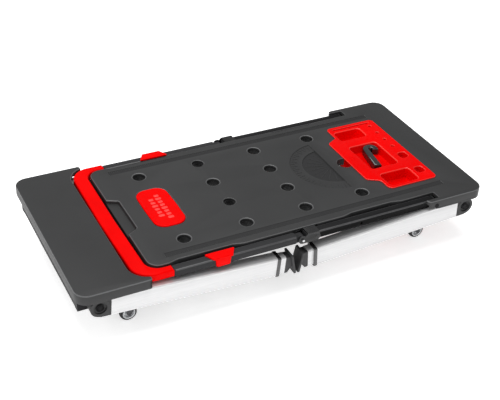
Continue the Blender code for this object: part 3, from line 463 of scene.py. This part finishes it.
def make_deck():
    """The moulded deck with its holes, recesses, rulers and ribbed underside."""
    bottom = PANEL_LO.z
    thin = TOP - 0.020
    bm = bmesh.new()
    loft(bm, panel_outline(), soft_profile(thin, TOP, 0.0022, 4))
    panel = add_object("deck_panel", to_mesh("deck_panel", bm))

    # side walls of the right end plate and the runners on the side beams
    bm = bmesh.new()
    x0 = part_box("handle_pivot_screw_rear")[0].x - 0.0125
    skirt = rect(x0, PANEL_HI.x - 0.0004, PANEL_LO.y + 0.0004, PANEL_HI.y - 0.0004, 0.029, 8)
    loft(bm, skirt, [(0.0, thin + 0.004), (0.0, bottom + 0.0006), (-0.0006, bottom)])
    boolean(panel, bm, "UNION")
    for side, _ in SIDES:
        bm = bmesh.new()
        lo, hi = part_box(f"side_beam_{side}")
        add_box(bm, (-0.335, lo.y, bottom), (x0 + 0.01, hi.y, thin + 0.004))
        boolean(panel, bm, "UNION")

    # ribbed pockets underneath, kept clear of the holes
    bm = bmesh.new()
    web = TOP - 0.0075
    columns, rows, wall = 11, 7, WEB_WALL
    x_from, x_to, y_half = -0.312, 0.208, 0.158
    pitch_x, pitch_y = (x_to - x_from) / columns, 2 * y_half / rows
    for i in range(columns):
        for j in range(rows):
            lo = (x_from + i * pitch_x + wall, -y_half + j * pitch_y + wall)
            hi = (lo[0] + pitch_x - 2 * wall, lo[1] + pitch_y - 2 * wall)
            near = [h for h in HOLES
                    if lo[0] - 0.017 < h.x < hi[0] + 0.017 and lo[1] - 0.017 < h.y < hi[1] + 0.017]
            if not near:
                add_box(bm, (*lo, bottom - 0.01), (*hi, web))
    boolean(panel, bm)
    bm = bmesh.new()
    for j in range(9):
        lo_y = -0.183 + j * 0.0407
        add_box(bm, (0.453, lo_y + wall, bottom - 0.01), (PANEL_HI.x - 0.006, lo_y + 0.0407 - wall, web))
    boolean(panel, bm)

    # slots of the handle rails, bays of the legs, ear pockets
    bm = bmesh.new()
    for side, sy in SIDES:
        lo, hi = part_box(f"lower_rail_{side}")
        end_x = hi.x + 0.0017
        y0, y1 = sorted((sy * (abs(lo.y + hi.y) / 2 - 0.0123), sy * (abs(lo.y + hi.y) / 2 + 0.0117)))
        slot = rounded(((end_x, y1, 0.003), (0.3355, y1, 0), (0.3355, y0, 0), (end_x, y0, 0.003)), 4)
        loft(bm, slot, [(0.001, TOP + 0.01), (0.001, TOP), (0.0002, TOP - 0.0012), (0.0, bottom - 0.01)])
    boolean(panel, bm)
    bm = bmesh.new()
    for side, sy in SIDES:
        lo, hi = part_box(f"leg_tube_right_{side}")
        add_box(bm, (0.300, lo.y - 0.0025 if sy > 0 else lo.y - 0.0008, bottom - 0.01),
                (0.5010, hi.y + 0.0008 if sy > 0 else hi.y + 0.0025, TOP - 0.0095))
        ear_lo, ear_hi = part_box(f"hinge_bracket_{side}")
        inner = sy * (min(abs(ear_lo.y), abs(ear_hi.y)) - 0.0006)
        y0, y1 = sorted((inner, sy * 0.215))
        add_box(bm, (ear_lo.x - 0.005, y0, bottom - 0.012), (ear_hi.x + 0.005, y1, TOP - 0.002))
    boolean(panel, bm)

    # bench holes with collars below them, tray well, finger hole
    bm = bmesh.new()
    for hole in HOLES:
        revolve(bm, [(0.0170, TOP - 0.0260), (0.0175, TOP - 0.0060)], 40,
                Matrix.Translation((hole.x, hole.y, 0)))
    boolean(panel, bm, "UNION")
    bm = bmesh.new()
    for hole in HOLES:
        hole_cutter(bm, hole)
    boolean(panel, bm)
    bm = bmesh.new()
    for name in ("deck_screw_1", "deck_screw_2"):
        lo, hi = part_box(name)
        place = Matrix.Translation(((lo.x + hi.x) / 2, (lo.y + hi.y) / 2, 0))
        revolve(bm, [(0.0164, TOP + 0.004), (0.0164, TOP - 0.0001), (0.0152, TOP - 0.0006),
                     (0.0140, TOP - 0.0018), (0.0135, lo.z - 0.0004)], 32, place)
    boolean(panel, bm)
    bm = bmesh.new()
    loft(bm, tray_outline(-0.0030), [(0.0, TOP + 0.02), (0.0, bottom - 0.02)])
    boolean(panel, bm)
    bm = bmesh.new()
    finger = OPENINGS["tray_finger_hole"]
    revolve(bm, [(0.0225, TOP + 0.004), (0.0225, TOP - 0.0002), (0.0210, TOP - 0.0012),
                 (0.0202, TOP - 0.0035),
                 (0.0200, TOP - 0.0350)], 40, Matrix.Translation((finger[1].x - 0.002, -0.005, 0)))
    boolean(panel, bm)

    # grip recess at the left edge
    bm = bmesh.new()
    grip = OPENINGS["finger_recess"]
    deep = grip[0].z - 0.0004
    right, left = grip[1].x + 0.003, PANEL_LO.x
    recess = rounded(((right, 0.058, 0.008), (left, 0.072, 0), (left - 0.02, 0.072, 0),
                      (left - 0.02, -0.072, 0), (left, -0.072, 0), (right, -0.058, 0.008)), 6)
    loft(bm, recess, [(0.003, TOP + 0.01), (0.0022, TOP), (0.0006, TOP - 0.0012), (0.0, TOP - 0.003),
                      (0.0, deep + 0.0012), (-0.0012, deep)])
    boolean(panel, bm)

    # badge seat, ruler grooves and the protractor
    bm = bmesh.new()
    loft(bm, badge_outline(0.0011), [(0.0012, TOP + 0.01), (0.0012, TOP), (0.0, TOP - 0.0012),
                                     (0.0, TOP - 0.0025)])
    for sy in (-1, 1):
        for x_a, x_b in RULERS:
            groove = rect(x_a, x_b, *sorted((sy * 0.1690, sy * 0.1835)), 0.002, 3)
            loft(bm, groove, [(0.0005, TOP + 0.01), (0.0005, TOP), (0.0, TOP - 0.0006)])
    boolean(panel, bm)
    for radius, depth in ((0.105, 0.0018), (0.074, 0.0034)):
        bm = bmesh.new()
        loft(bm, segment_outline(radius), [(0.002, TOP + 0.01), (0.0016, TOP), (0.0, TOP - depth)])
        boolean(panel, bm)
    smooth(panel, 32)
    paint(panel, (DARK, RECESS_SHADE, RIM_HIGHLIGHT, GROOVE_SHADE), deck_paint)
    return finish_piece(panel, "top_panel")


def deck_paint(centre, normal):
    """0 for the plain deck, 1 for painted shade on hole and screw-seat walls, 2 for a painted highlight on the
    rounded rims and mouths, 3 for painted shade in the scale recesses.
    """
    depth = TOP - centre.z
    if depth > 0.0155 or depth < 0.00002:
        return 0
    for hole in HOLES:
        if (centre.xy - hole.xy).length < 0.0184:
            return 2 if depth < 0.0016 else 1
    for node in ("deck_screw_1", "deck_screw_2"):
        lo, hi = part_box(node)
        if (centre.xy - (lo + hi).xy / 2).length < 0.0166:
            return 2 if depth < 0.0010 else 1
    if 0.168 < abs(centre.y) < 0.1845 and RULERS[0][0] < centre.x < RULERS[-1][1]:
        return 3
    reach = (centre.xy - Vector((PROTRACTOR_X, 0))).length
    if reach < 0.106 and 0.0008 < depth < 0.0036 and centre.x < PROTRACTOR_X:
        return 3 if reach < 0.0745 and depth > 0.0030 else 0
    if depth < 0.0021 and 0.05 < normal.z < 0.97:
        return 2
    return 0


def segment_outline(radius, chord=0.008):
    half_angle = math.degrees(math.acos(chord / radius))
    return arc(PROTRACTOR_X, 0.0, radius, 180 - half_angle, 180 + half_angle, 40)


def badge_outline(grow):
    lo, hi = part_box("badge")
    middle, half = (lo + hi) / 2, (hi - lo) / 2
    x, y = half.x + grow, half.y + grow
    radius, bow = 0.028, 0.0015
    corners = ((x - bow, y, radius), (-x + bow, y, radius), (-x, 0, 0), (-x + bow, -y, radius),
               (x - bow, -y, radius), (x, 0, 0))
    return [(middle.x + px, middle.y + py) for px, py in rounded(corners, 14)]


def make_badge():
    """Domed badge with a raised border and plain raised bars."""
    lo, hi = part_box("badge")
    bm = bmesh.new()
    face = hi.z - 0.0007
    loft(bm, badge_outline(0.0), [(-0.0062, face), (-0.0056, face + 0.0001), (-0.0050, hi.z - 0.0001),
                                  (-0.0040, hi.z), (-0.0018, hi.z), (-0.0006, hi.z - 0.0005),
                                  (0.0, hi.z - 0.0014), (0.0, lo.z)])
    badge = add_object("badge_plate", to_mesh("badge_plate", bm))
    bm = bmesh.new()
    middle = (lo + hi) / 2
    for row, reach in ((-0.0105, 0.040), (0.0075, 0.052)):
        count = int(2 * reach / 0.0125)
        for k in range(count):
            x, y = middle.x + row, middle.y - reach + (k + 0.5) * 2 * reach / count
            high = 0.0058 if k % 3 else 0.0072
            ring = rect(x - high, x + high, y - 0.0044, y + 0.0044, 0.0028, 4)
            loft(bm, ring, [(-0.0008, face + 0.0005), (0.0, face), (0.0, face - 0.0008)])
    bars = add_object("badge_bars", to_mesh("badge_bars", bm), BADGE_INK)
    extra(bars, "base")
    return finish_piece(badge, "badge", RED)


def make_rulers():
    """Raised graduation marks in the two ruler grooves and round the protractor."""
    bm = bmesh.new()
    base, high = TOP - 0.0007, TOP - 0.00015
    for sy in (-1, 1):
        for x_a, x_b in RULERS:
            count = int((x_b - x_a - 0.008) / 0.005)
            for k in range(count + 1):
                x = x_a + 0.004 + k * 0.005
                length = 0.0095 if k % 10 == 0 else (0.0065 if k % 2 == 0 else 0.0040)
                y0, y1 = sorted((sy * 0.1832, sy * (0.1832 - length)))
                add_box(bm, (x - 0.00035, y0, base), (x + 0.00035, y1, high))
    for k in range(-16, 17):
        turn = math.radians(180 + k * 5)
        outer, inner = 0.1025, 0.1025 - (0.016 if k % 2 == 0 else 0.009)
        place = Matrix.Translation((PROTRACTOR_X, 0, 0)) @ Matrix.Rotation(turn, 4, "Z")
        add_box(bm, (inner, -0.0004, TOP - 0.0019), (outer, 0.0004, TOP - 0.0012), place)
    for k in range(-4, 5):
        turn = math.radians(180 + k * 18)
        place = Matrix.Translation((PROTRACTOR_X, 0, 0)) @ Matrix.Rotation(turn, 4, "Z")
        add_box(bm, (0.018, -0.0005, TOP - 0.0035), (0.066, 0.0005, TOP - 0.0029), place)
    marks = add_object("scale_marks", to_mesh("scale_marks", bm), DARK, False)
    return extra(marks, "base")


def left_plate_outline():
    lo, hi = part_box("left_end_plate")
    inner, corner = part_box("handle_bow")[0].x - 0.0030, 0.0490
    upper = [(x, y, 0) for x, y in reversed(arc(inner + corner, 0.1815, corner, 104, 180, 14))]
    lower = [(x, -y, 0) for x, y, _ in reversed(upper)]
    horn = HORN_X
    corners = [(lo.x, hi.y, 0.030), (lo.x, lo.y, 0.030), (horn, lo.y, 0.006)] + lower + upper
    return rounded(corners + [(horn, hi.y, 0.006)], 8)


def make_left_plate():
    lo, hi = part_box("left_end_plate")
    bm = bmesh.new()
    loft(bm, left_plate_outline(), soft_profile(lo.z, hi.z, 0.0024, 4, 0.0006))
    plate = add_object("end_plate", to_mesh("end_plate", bm))
    bm = bmesh.new()
    add_box(bm, (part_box("handle_bow")[0].x - 0.0086, -0.2022, lo.z + 0.0002), (hi.x, 0.2022, lo.z + 0.0038))
    boolean(plate, bm, "UNION")
    bm = bmesh.new()
    rows, wall = 9, WEB_WALL
    pitch = 0.376 / rows
    for j in range(rows):
        y = -0.188 + j * pitch
        for x0, x1 in ((lo.x + 0.006, lo.x + 0.053), (lo.x + 0.0575, -0.412)):
            add_box(bm, (x0, y + wall, lo.z - 0.01), (x1, y + pitch - wall, hi.z - 0.007))
    boolean(plate, bm)
    bm = bmesh.new()
    for side, sy in SIDES:
        tube_lo, tube_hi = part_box(f"leg_tube_left_{side}")
        add_box(bm, (-0.5010, tube_lo.y - (0.0025 if sy > 0 else 0.0008), lo.z - 0.01),
                (-0.300, tube_hi.y + (0.0008 if sy > 0 else 0.0025), TOP - 0.0095))
    boolean(plate, bm)
    smooth(plate, 32)
    paint(plate, (DARK, RECESS_SHADE, RIM_HIGHLIGHT), lambda centre, normal: plate_paint(centre, normal, hi.z))
    return finish_piece(plate, "left_end_plate")


def plate_paint(centre, normal, top):
    """1 for painted shade on the shelf under the grip, 2 for a painted highlight on the rounded upper rim."""
    if centre.z < top - 0.012 and centre.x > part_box("handle_bow")[0].x - 0.006:
        return 1
    return 2 if top - centre.z < 0.0022 and 0.05 < normal.z < 0.97 else 0


# ---- tray ---------------------------------------------------------------------------------
def tray_outline(grow):
    """The tray's plan outline, grown outwards by grow."""
    x1, half = TRAY_HI.x + grow, TRAY_HI.y + grow
    bulge, x0 = TRAY_LO.x - grow, TRAY_LO.x + 0.031 - grow
    low, high = -0.096 - grow, 0.088 + grow
    return rounded(((x1, half, 0.012), (x0, half, 0.011), (x0, high + 0.016, 0.005), (bulge, high, 0.010),
                    (bulge, low, 0.012), (x0, low - 0.018, 0.014), (x0, -half, 0.014), (x1, -half, 0.012)), 7)


def pocket(bm, x0, x1, y0, y1, top, floor, radius=0.010, flare=0.0030, taper=0.0040):
    """A pocket with a rounded lip, sloping walls and a rounded floor."""
    outline = rect(x0, x1, y0, y1, radius, 7)
    steps = [math.pi / 2 * k / 4 for k in range(5)]
    lip = [(flare * (1 - math.sin(a)), top - flare * (1 - math.cos(a))) for a in steps]
    foot = [(-taper - 0.003 * (1 - math.cos(a)), floor + 0.003 * (1 - math.sin(a))) for a in steps]
    loft(bm, outline, [(flare, top + 0.004)] + lip + foot)


def make_tray():
    top, flange = TRAY_HI.z, TOP + 0.0004
    bm = bmesh.new()
    loft(bm, tray_outline(0.0), soft_profile(flange, top, 0.0016, 4))
    tray = add_object("tray_shell", to_mesh("tray_shell", bm))
    bm = bmesh.new()
    loft(bm, tray_outline(-0.0036), [(0.0, flange + 0.001), (0.0, TRAY_LO.z + 0.003), (-0.003, TRAY_LO.z)])
    boolean(tray, bm, "UNION")
    bm = bmesh.new()
    for x0, x1, y0, y1, depth in POCKETS:
        pocket(bm, x0 + 0.001, x1 - 0.001, y0 + 0.001, y1 - 0.001, top, top - depth)
    for k in (1, 2):
        lo, hi = OPENINGS[f"tray_square_hole_{k}"]
        pocket(bm, lo.x - 0.0018, hi.x + 0.0018, lo.y - 0.0018, hi.y + 0.0018, top, top - 0.024,
               radius=0.0085, flare=0.0020, taper=0.0012)
    boolean(tray, bm)
    bm = bmesh.new()
    row_x = (OPENINGS["tray_square_hole_1"][0].x + OPENINGS["tray_square_hole_1"][1].x) / 2
    for k in range(4):
        place = Matrix.Translation((row_x, 0.1235 - 0.0365 * k, 0))
        revolve(bm, [(0.0056, top + 0.004), (0.0056, top - 0.0001), (0.0047, top - 0.0009),
                     (0.0043, top - 0.0022), (0.0042, top - 0.020)], 24, place)
    slot = rect(0.312, 0.424, 0.1388, 0.1426, 0.0018, 4)
    loft(bm, slot, [(0.0010, top + 0.004), (0.0010, top), (0.0, top - 0.0010), (0.0, top - 0.018)])
    boolean(tray, bm)
    bm = bmesh.new()
    add_box(bm, (0.250, -0.024, TRAY_LO.z - 0.01), (0.284, 0.014, TOP - 0.001))
    boolean(tray, bm)
    bm = bmesh.new()
    ring = [(0.0064, top + 0.001), (0.0064, top - 0.0004), (0.0052, top - 0.0004), (0.0052, top + 0.001)]
    loop_turn(bm, ring, 28,
              Matrix.Translation((0.2845, -0.0016, 0)))
    boolean(tray, bm)
    smooth(tray, 34)
    # painted highlight: the rounded lips of the tray and its pockets get the lighter red
    paint(tray, (RED, RED_LIP_HIGHLIGHT),
          lambda centre, normal: int(top - centre.z < 0.0030 and 0.08 < normal.z < 0.97))
    return finish_piece(tray, "tool_tray")


def make_hook():
    """Thick J-shaped clamp hook, rounded all over."""
    lo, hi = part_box("clamp_hook")
    bend = (0.3600, 0.0280)
    foot_x, foot_y = 0.3345, -0.0500
    outline = ([(foot_x - 0.0092, foot_y + 0.006)] + arc(*bend, 0.0204, 175, -25, 26)
               + arc(*bend, 0.0050, -25, 160, 14) + [(foot_x + 0.0092, foot_y)])
    bm = bmesh.new()
    loft(bm, outline, soft_profile(lo.z, hi.z, 0.0042, 5, 0.0024))
    hook = add_object("hook_bar", to_mesh("hook_bar", bm))
    smooth(hook, 50)
    return finish_piece(hook, "clamp_hook", GLOSS)


# ---- handle -------------------------------------------------------------------------------
def make_bow():
    lo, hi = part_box("handle_bow")
    outer, inner = hi.y, hi.y - 0.0195
    near, mid_in = lo.x + 0.004, lo.x + 0.0355
    upper = [(hi.x, outer, 0), (near, outer, 0.046), (lo.x, 0.0, 0), (near, -outer, 0.046), (hi.x, -outer, 0),
             (hi.x, -inner, 0), (mid_in + 0.0025, -inner, 0.032), (mid_in, 0.0, 0),
             (mid_in + 0.0025, inner, 0.032), (hi.x, inner, 0)]
    bm = bmesh.new()
    loft(bm, rounded(upper, 14), soft_profile(lo.z, hi.z, 0.0040, 5, 0.0030))
    bow = add_object("grip_bow", to_mesh("grip_bow", bm))
    smooth(bow, 40)
    return finish_piece(bow, "handle_bow", RED)


def make_latch(side, sy):
    lo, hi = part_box(f"latch_{side}")
    x = (lo.x + hi.x) / 2
    inner, outer = sorted((abs(lo.y), abs(hi.y)))
    wide, narrow = (hi.x - lo.x) / 2, (hi.x - lo.x) / 2 - 0.014
    outline = rounded(((x - wide, sy * inner, 0.002), (x + wide, sy * inner, 0.002),
                       (x + narrow, sy * outer, 0.003), (x - narrow, sy * outer, 0.003)), 4)
    bm = bmesh.new()
    loft(bm, outline, soft_profile(hi.z - 0.0040, hi.z, 0.0013, 4))
    latch = add_object(f"latch_cap_{side}", to_mesh("latch_cap", bm))
    bm = bmesh.new()
    tongue = rounded(((x + 0.0190, hi.z - 0.0015, 0), (x - 0.0190, hi.z - 0.0015, 0),
                      (x - 0.0165, lo.z, 0.004), (x + 0.0165, lo.z, 0.004)), 5)
    turn = Matrix(((1, 0, 0, 0), (0, 0, sy, 0), (0, 1, 0, 0), (0, 0, 0, 1)))
    loft(bm, tongue, [(-0.0010, outer), (-0.0003, outer - 0.0003), (0.0, outer - 0.0010),
                      (0.0, outer - 0.0035)], turn)
    bmesh.ops.recalc_face_normals(bm, faces=bm.faces)
    boolean(latch, bm, "UNION")
    smooth(latch, 34)
    return finish_piece(latch, f"latch_{side}", RED)


# ---- legs ---------------------------------------------------------------------------------
def leg_place(tag, sx):
    """Leg space: x along the leg from its pivot, z up, y across, right legs turned about."""
    pivot = Vector(JOINTS[f"leg_fold_{'left' if sx < 0 else 'right'}"]["pos_m"])
    along = Vector(JOINTS[f"leg_extend_{tag}"]["axis"]).normalized()
    lo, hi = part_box(f"leg_tube_{tag}")
    across = Vector((0, 1 if sx < 0 else -1, 0))
    up = along.cross(across)
    matrix = Matrix((along, across, up)).transposed().to_4x4()
    return Matrix.Translation((pivot.x, (lo.y + hi.y) / 2, pivot.z)) @ matrix


def tube_profile(width, height, groove):
    """Section of the leg extrusion: rounded box with shallow grooves along both flat sides."""
    half_w, half_h, radius = width / 2, height / 2, TUBE_CORNER
    side = [half_h - radius - 0.0015, half_h - radius - 0.0035,
            -half_h + radius + 0.0060, -half_h + radius + 0.0035]
    right = []
    for top, bottom in ((side[0], side[1]), (side[2], side[3])):
        right += [(half_w, top), (half_w - groove, top - 0.0006),
                  (half_w - groove, bottom + 0.0006), (half_w, bottom)]
    corner = rounded(((half_w, -half_h, radius), (half_w, half_h, radius), (-half_w, half_h, radius),
                      (-half_w, -half_h, radius)), 7)
    lower_right, rest = corner[:8], corner[8:]
    upper_right, rest = rest[:8], rest[8:]
    upper_left, lower_left = rest[:8], rest[8:]
    up_side = [(x, z) for x, z in reversed(right)]
    left = [(-x, z) for x, z in right]
    return lower_right + up_side + upper_right + upper_left + left + lower_left


def hollow_tube(name, outline, wall, start, end, place, material):
    """An open tube along leg x."""
    bm = bmesh.new()
    inner = offset(outline, -wall)
    rings = []
    for points, x in ((outline, start), (outline, end), (inner, end), (inner, start)):
        rings.append([bm.verts.new(place @ Vector((x, y, z))) for y, z in points])
    total = len(outline)
    for a, b in zip(rings, rings[1:] + rings[:1]):
        for i in range(total):
            bm.faces.new((a[i - 1], a[i], b[i], b[i - 1]))
    obj = add_object(name, to_mesh(name, bm), material)
    smooth(obj, 30)
    return obj


def make_leg(tag, sx):
    place = leg_place(tag, sx)
    back = place.inverted()

    def span(node):
        points = [back @ v.co for v in frame["nodes"][node].data.vertices]
        return (Vector([min(p[i] for p in points) for i in range(3)]),
                Vector([max(p[i] for p in points) for i in range(3)]))

    lo, hi = span(f"leg_tube_{tag}")
    section = tube_profile(hi.y - lo.y, hi.z - lo.z, 0.0003)
    tube = hollow_tube(f"outer_tube_{tag}", section, 0.0018, lo.x, hi.x, place, ALU)
    finish_piece(tube, f"leg_tube_{tag}")
    lo, hi = span(f"leg_extension_{tag}")
    section = rect(lo.y, hi.y, lo.z, hi.z, TUBE_CORNER)
    inner = hollow_tube(f"inner_tube_{tag}", section, 0.0016, lo.x, hi.x, place, ALU)
    finish_piece(inner, f"leg_extension_{tag}")
    refine(f"leg_collar_{tag}", 0.0008)
    refine(f"leg_knuckle_{tag}", 0.0010)
    refine(f"leg_foot_{tag}", 0.0008, FOOT)
    refine(f"leg_bolt_{tag}", 0.0005)


# ---- casters --------------------------------------------------------------------------------
def make_wheel(tag):
    """Tyre with a rounded tread, and a separate dished hub."""
    lo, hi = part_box(f"caster_wheel_{tag}")
    centre = (lo + hi) / 2
    radius, half = (hi.z - lo.z) / 2, (hi.y - lo.y) / 2
    place = facing(centre, (0, 1, 0))
    bm = bmesh.new()
    bore = 0.0150
    crown = [(radius - 0.0032 * (1 - math.cos(a)), half * 0.86 * math.sin(a))
             for a in (math.radians(-75 + 15 * k) for k in range(11))]
    side = [(bore, -half + 0.0012), (bore + 0.0012, -half + 0.0004), (radius - 0.0050, -half + 0.0002)]
    ring = side + crown + [(r, -z) for r, z in reversed(side)]
    loop_turn(bm, ring, 48, place)
    tyre = add_object(f"tyre_{tag}", to_mesh("tyre", bm), TYRE)
    smooth(tyre, 45)
    finish_piece(tyre, f"caster_wheel_{tag}")
    bm = bmesh.new()
    for face in (-1, 1):
        dish = [(0.0034, half * 0.80), (0.0062, half * 0.86), (0.0068, half * 0.70), (0.0076, half * 0.34),
                (0.0118, half * 0.30), (0.0126, half * 0.80), (0.0146, half * 0.88), (0.0150, half * 0.80),
                (0.0150, 0.0), (0.0034, 0.0)]
        loop_turn(bm, [(r, face * z) for r, z in dish], 40, place)
    hub = add_object(f"hub_{tag}", to_mesh("hub", bm), ZINC)
    smooth(hub, 35)
    extra(hub, f"wheel_{tag}")


def loop_turn(bm, ring, segments, place):
    """Adds a ring-shaped turned solid whose closed section is ring, as (radius, height)."""
    rows = []
    for k in range(segments):
        a = 2 * math.pi * k / segments
        rows.append([bm.verts.new(place @ Vector((r * math.cos(a), r * math.sin(a), z))) for r, z in ring])
    for k in range(segments):
        a, b = rows[k - 1], rows[k]
        for i in range(len(ring)):
            bm.faces.new((a[i - 1], a[i], b[i], b[i - 1]))


def rail_paint(_, normal):
    """1 along the rounded upper edges, which face up and get a painted highlight."""
    return int(0.3 < normal.z < 0.95 and abs(normal.x) < 0.2)


# ---- all pieces ------------------------------------------------------------------------------
make_deck()
make_badge()
make_rulers()
make_left_plate()
make_tray()
make_hook()
make_bow()
for side_name, side_sign in SIDES:
    make_latch(side_name, side_sign)
    for half in ("upper", "lower"):
        rail = refine(f"{half}_rail_{side_name}", 0.0006)
        paint(rail, (STEEL, RAIL_HIGHLIGHT), rail_paint)
    refine(f"hinge_bracket_{side_name}", 0.0004, BRACKET)
    refine(f"hinge_pin_{side_name}", 0.0008)
    refine(f"handle_pivot_screw_{side_name}", 0.0003)
    refine(f"side_beam_{side_name}", 0.0006)
for end_name, _ in ENDS:
    refine(f"caster_beam_{end_name}", 0.0006)
    refine(f"hinge_beam_{end_name}", 0.0008)
    refine(f"leg_cross_tube_{end_name}", 0.0008)
for corner_tag, end_sign in CORNERS:
    make_leg(corner_tag, end_sign)
    make_wheel(corner_tag)
    refine(f"caster_fork_{corner_tag}", 0.0005, FORK)
for number in (1, 2):
    refine(f"deck_screw_{number}", 0.0003)


# ---- stage -----------------------------------------------------------------------------------
def make_stage():
    bpy.ops.mesh.primitive_plane_add(size=FLOOR_SIZE, location=(0, 0, 0))
    floor = bpy.context.object
    floor.name = "floor"
    g = Graph("floor_paint")
    speckle = g.noise(30.0, 4.0)
    g.feed(g.shader.inputs["Base Color"], g.mix(speckle, (0.90, 0.90, 0.90, 1), (0.94, 0.94, 0.94, 1)))
    g.shader.inputs["Roughness"].default_value = 0.6
    g.shader.inputs["Emission Color"].default_value = (1, 1, 1, 1)
    g.shader.inputs["Emission Strength"].default_value = 0.62
    floor.data.materials.append(g.mat)


def area_light(name, location, target, size, power):
    data = bpy.data.lights.new(name, "AREA")
    data.shape = "RECTANGLE"
    data.size, data.size_y = size
    data.energy = power
    light = bpy.data.objects.new(name, data)
    light.location = location
    light.rotation_euler = (Vector(target) - Vector(location)).to_track_quat("-Z", "Y").to_euler()
    bpy.context.scene.collection.objects.link(light)


def make_lights():
    world = bpy.data.worlds.new("studio")
    bpy.context.scene.world = world
    world.use_nodes = True
    background = world.node_tree.nodes["Background"]
    background.inputs["Color"].default_value = (1, 1, 1, 1)
    background.inputs["Strength"].default_value = 0.42
    area_light("overhead", (-0.2, 0.5, 3.2), (0, 0.5, 0), (3.4, 2.2), 85)
    area_light("front", (-1.0, -3.0, 0.7), (0, 0, 0.1), (2.6, 0.8), 14)
    area_light("key", (-2.4, 0.2, 2.0), (0, 0, 0.1), (1.0, 1.0), 14)


def make_camera():
    data = bpy.data.cameras.new("camera")
    data.lens = 70.56
    data.sensor_width = 36.0
    camera = bpy.data.objects.new("camera", data)
    camera.location = (-0.9532, -1.7401, 1.3105 + TOP)
    camera.rotation_euler = tuple(math.radians(a) for a in (55.58, -2.53, -26.91))
    bpy.context.scene.collection.objects.link(camera)
    bpy.context.scene.camera = camera


make_stage()
make_lights()
make_camera()
bpy.context.scene.view_settings.view_transform = "Standard"
